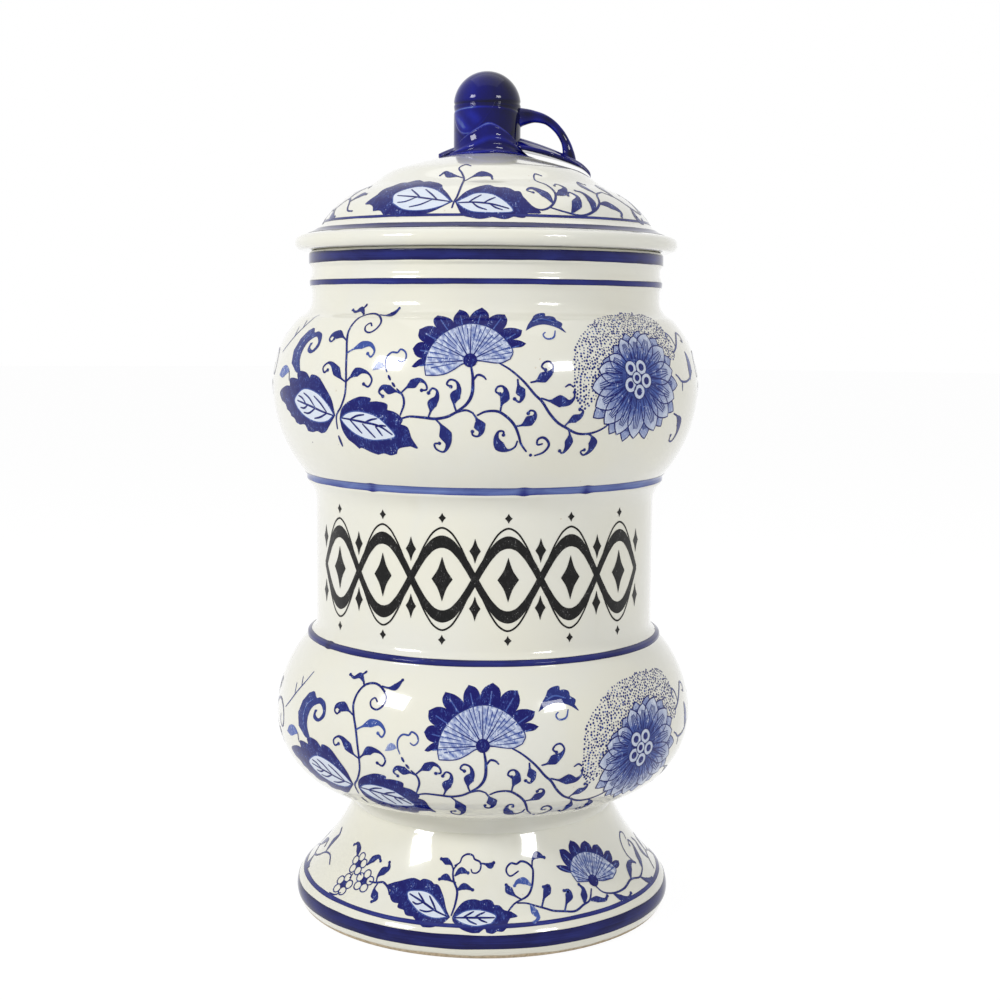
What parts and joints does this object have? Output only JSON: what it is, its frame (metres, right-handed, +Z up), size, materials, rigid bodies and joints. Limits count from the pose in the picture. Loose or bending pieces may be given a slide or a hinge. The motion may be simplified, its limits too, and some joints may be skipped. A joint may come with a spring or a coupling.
{
  "type": "biscuit jar",
  "caption": "Footed ceramic biscuit jar with a double-bulb body, a straight band between the bulbs, and a lift-off domed lid with a rosebud and stem-loop knob.",
  "frame": {"origin": "centre of the foot's resting ring, on the plane that the jar stands on", "axes": "+Z up along the jar's axis, -Y towards the front where the band's ornament is, +X towards the side where the knob's stem loop is"},
  "size_m": [0.153, 0.153, 0.3],
  "materials": {
    "white_glaze": "gloss",
    "cobalt_glaze": "gloss",
    "cobalt_print": "gloss",
    "bare_clay": "matt"
  },
  "bodies": {
    "jar": {"jar_body": "white_glaze", "pedestal_foot": "white_glaze"},
    "lid": {"lid_dome": "white_glaze", "locating_ring": "white_glaze", "bud_core": "cobalt_glaze", "bud_cap": "cobalt_glaze", "petal_front": "cobalt_glaze", "petal_back": "cobalt_glaze", "petal_left": "cobalt_glaze", "calyx": "cobalt_glaze", "leaf_right": "cobalt_glaze", "leaf_left": "cobalt_glaze", "leaf_back": "cobalt_glaze", "stem_loop": "cobalt_glaze"}
  },
  "joints": [
    {"name": "lid_lift", "type": "slide", "parent": "jar", "child": "lid", "axis": [0, 0, 1], "range_m": [0, 0.15]}
  ]
}
